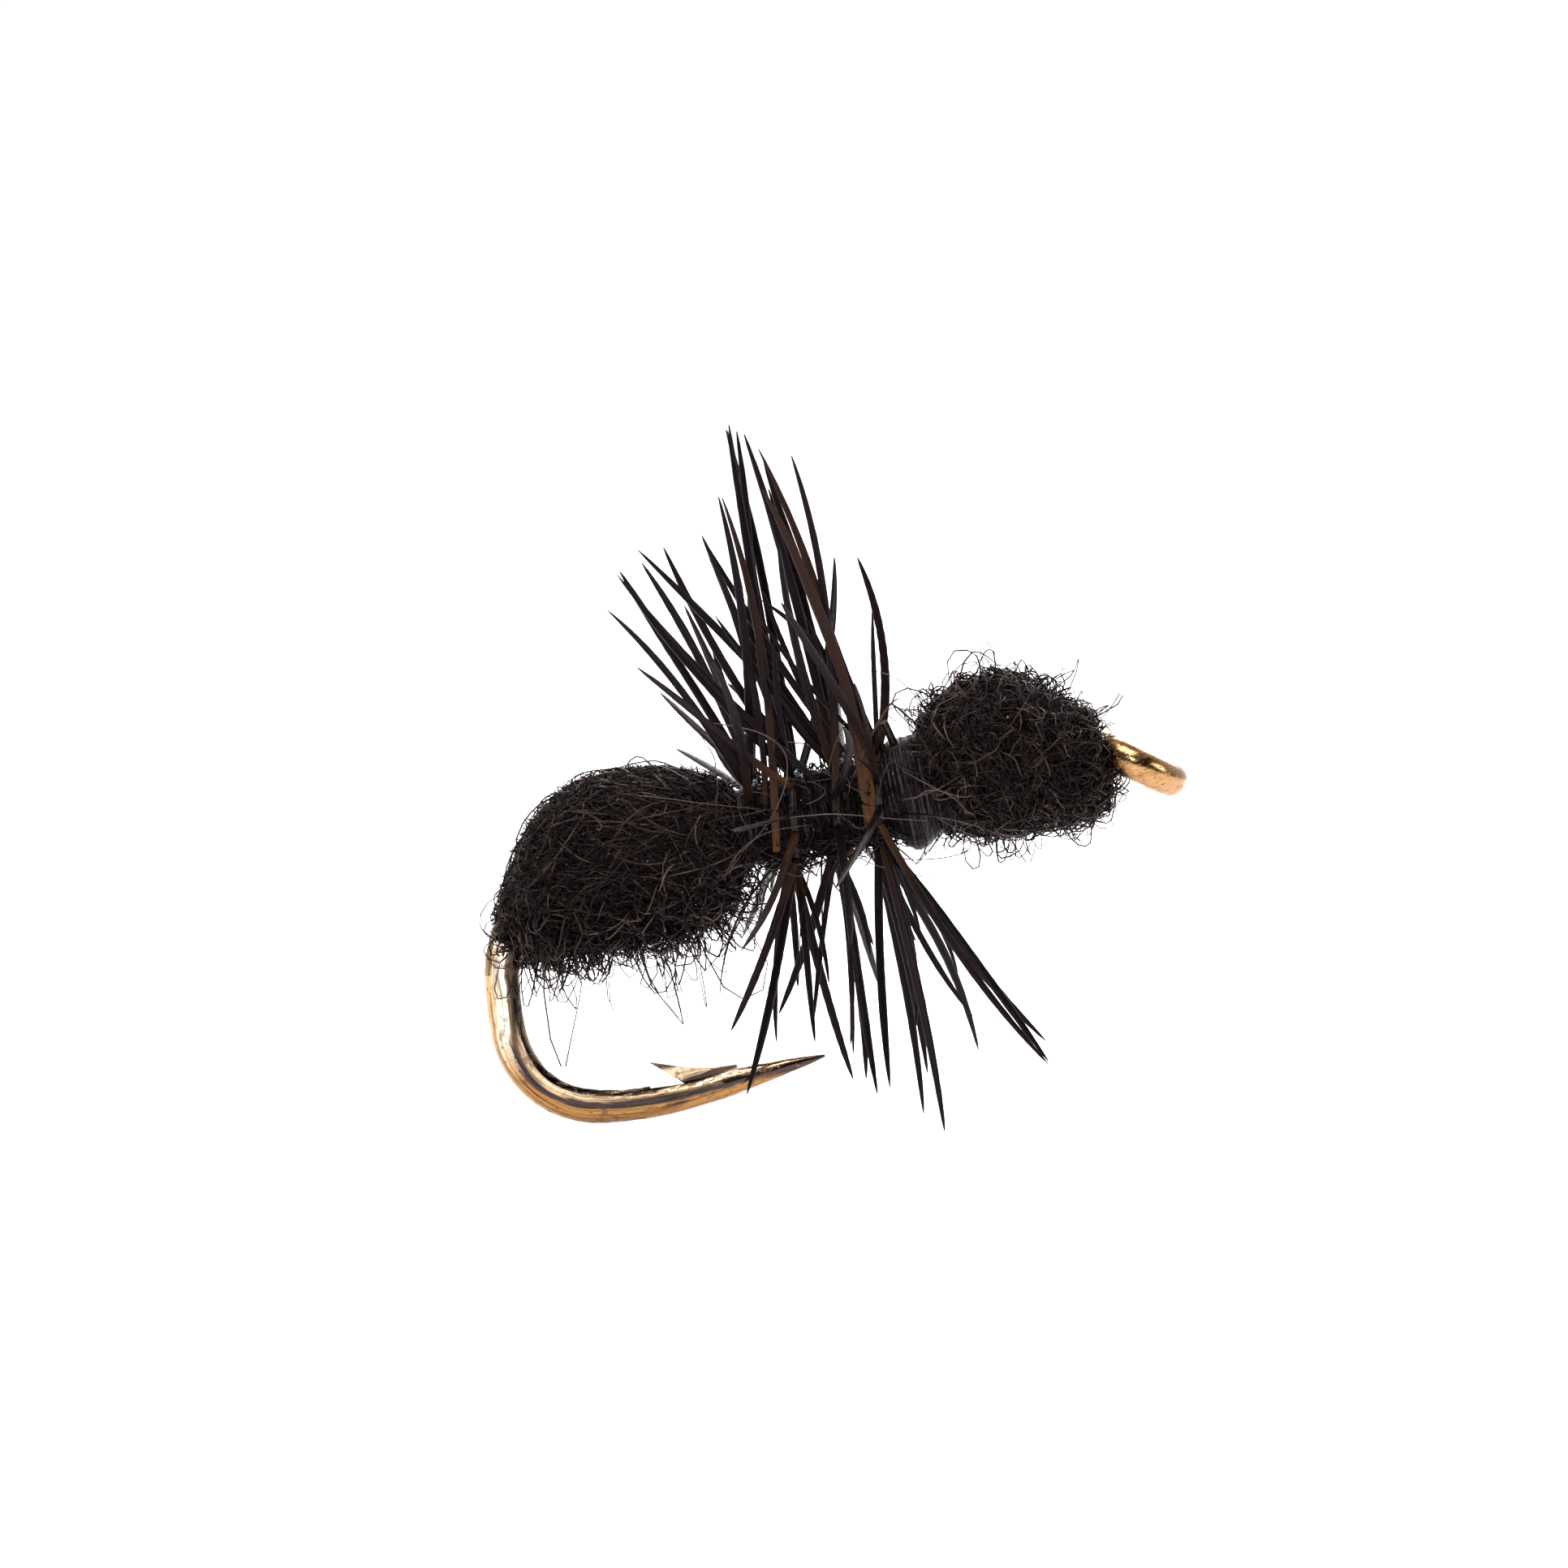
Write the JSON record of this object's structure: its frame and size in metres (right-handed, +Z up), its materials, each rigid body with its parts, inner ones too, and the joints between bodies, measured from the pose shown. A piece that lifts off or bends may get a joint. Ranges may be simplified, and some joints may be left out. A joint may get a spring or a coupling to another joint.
{
  "type": "dry fly",
  "caption": "Black ant dry fly: dubbed fur abdomen and head on a bronzed barbed hook, with a wound feather hackle collar at its waist.",
  "frame": {"origin": "on the surface the fly stands on, under the middle of its overall box, in the plane of the hook", "axes": "+Z up as the fly stands on its bend and hackle tips, +X towards the hook eye, +Y to the far side; the hook lies in the XZ plane"},
  "size_m": [0.0078, 0.0075, 0.0078],
  "materials": {
    "bronzed_wire": "polished bronze lacquer over steel wire, worn at the eye and heel",
    "dubbed_fur": "matte, fibrous",
    "tying_thread": "waxed filament, soft sheen",
    "hackle_feather": "glossy keratin, slightly translucent at the tips",
    "hackle_stem": "glossy keratin",
    "cement": "clear amber lacquer, glossy"
  },
  "bodies": {
    "root": {"abdomen_dubbing": "dubbed_fur", "front_waist_wraps": "tying_thread", "hackle_barb_01": "hackle_feather", "hackle_barb_02": "hackle_feather", "hackle_barb_03": "hackle_feather", "hackle_barb_04": "hackle_feather", "hackle_barb_05": "hackle_feather", "hackle_barb_06": "hackle_feather", "hackle_barb_07": "hackle_feather", "hackle_barb_08": "hackle_feather", "hackle_barb_09": "hackle_feather", "hackle_barb_10": "hackle_feather", "hackle_barb_11": "hackle_feather", "hackle_barb_12": "hackle_feather", "hackle_barb_13": "hackle_feather", "hackle_barb_14": "hackle_feather", "hackle_barb_15": "hackle_feather", "hackle_barb_16": "hackle_feather", "hackle_barb_17": "hackle_feather", "hackle_barb_18": "hackle_feather", "hackle_barb_19": "hackle_feather", "hackle_barb_20": "hackle_feather", "hackle_barb_21": "hackle_feather", "hackle_barb_22": "hackle_feather", "hackle_barb_23": "hackle_feather", "hackle_barb_24": "hackle_feather", "hackle_barb_25": "hackle_feather", "hackle_barb_26": "hackle_feather", "hackle_barb_27": "hackle_feather", "hackle_barb_28": "hackle_feather", "hackle_barb_29": "hackle_feather", "hackle_barb_30": "hackle_feather", "hackle_barb_31": "hackle_feather", "hackle_barb_32": "hackle_feather", "hackle_barb_33": "hackle_feather", "hackle_barb_34": "hackle_feather", "hackle_barb_35": "hackle_feather", "hackle_barb_36": "hackle_feather", "hackle_barb_37": "hackle_feather", "hackle_barb_38": "hackle_feather", "hackle_barb_39": "hackle_feather", "hackle_barb_40": "hackle_feather", "hackle_barb_41": "hackle_feather", "hackle_barb_42": "hackle_feather", "hackle_barb_43": "hackle_feather", "hackle_barb_44": "hackle_feather", "hackle_barb_45": "hackle_feather", "hackle_barb_46": "hackle_feather", "hackle_barb_47": "hackle_feather", "hackle_barb_48": "hackle_feather", "hackle_butt": "hackle_stem", "hackle_quill": "hackle_stem", "hackle_seat_wraps": "tying_thread", "hackle_tip_stub": "hackle_stem", "head_cement": "cement", "head_dubbing": "dubbed_fur", "hook": "bronzed_wire", "rear_waist_wraps": "tying_thread", "thread_base": "tying_thread", "whip_finish": "tying_thread"}
  },
  "joints": []
}
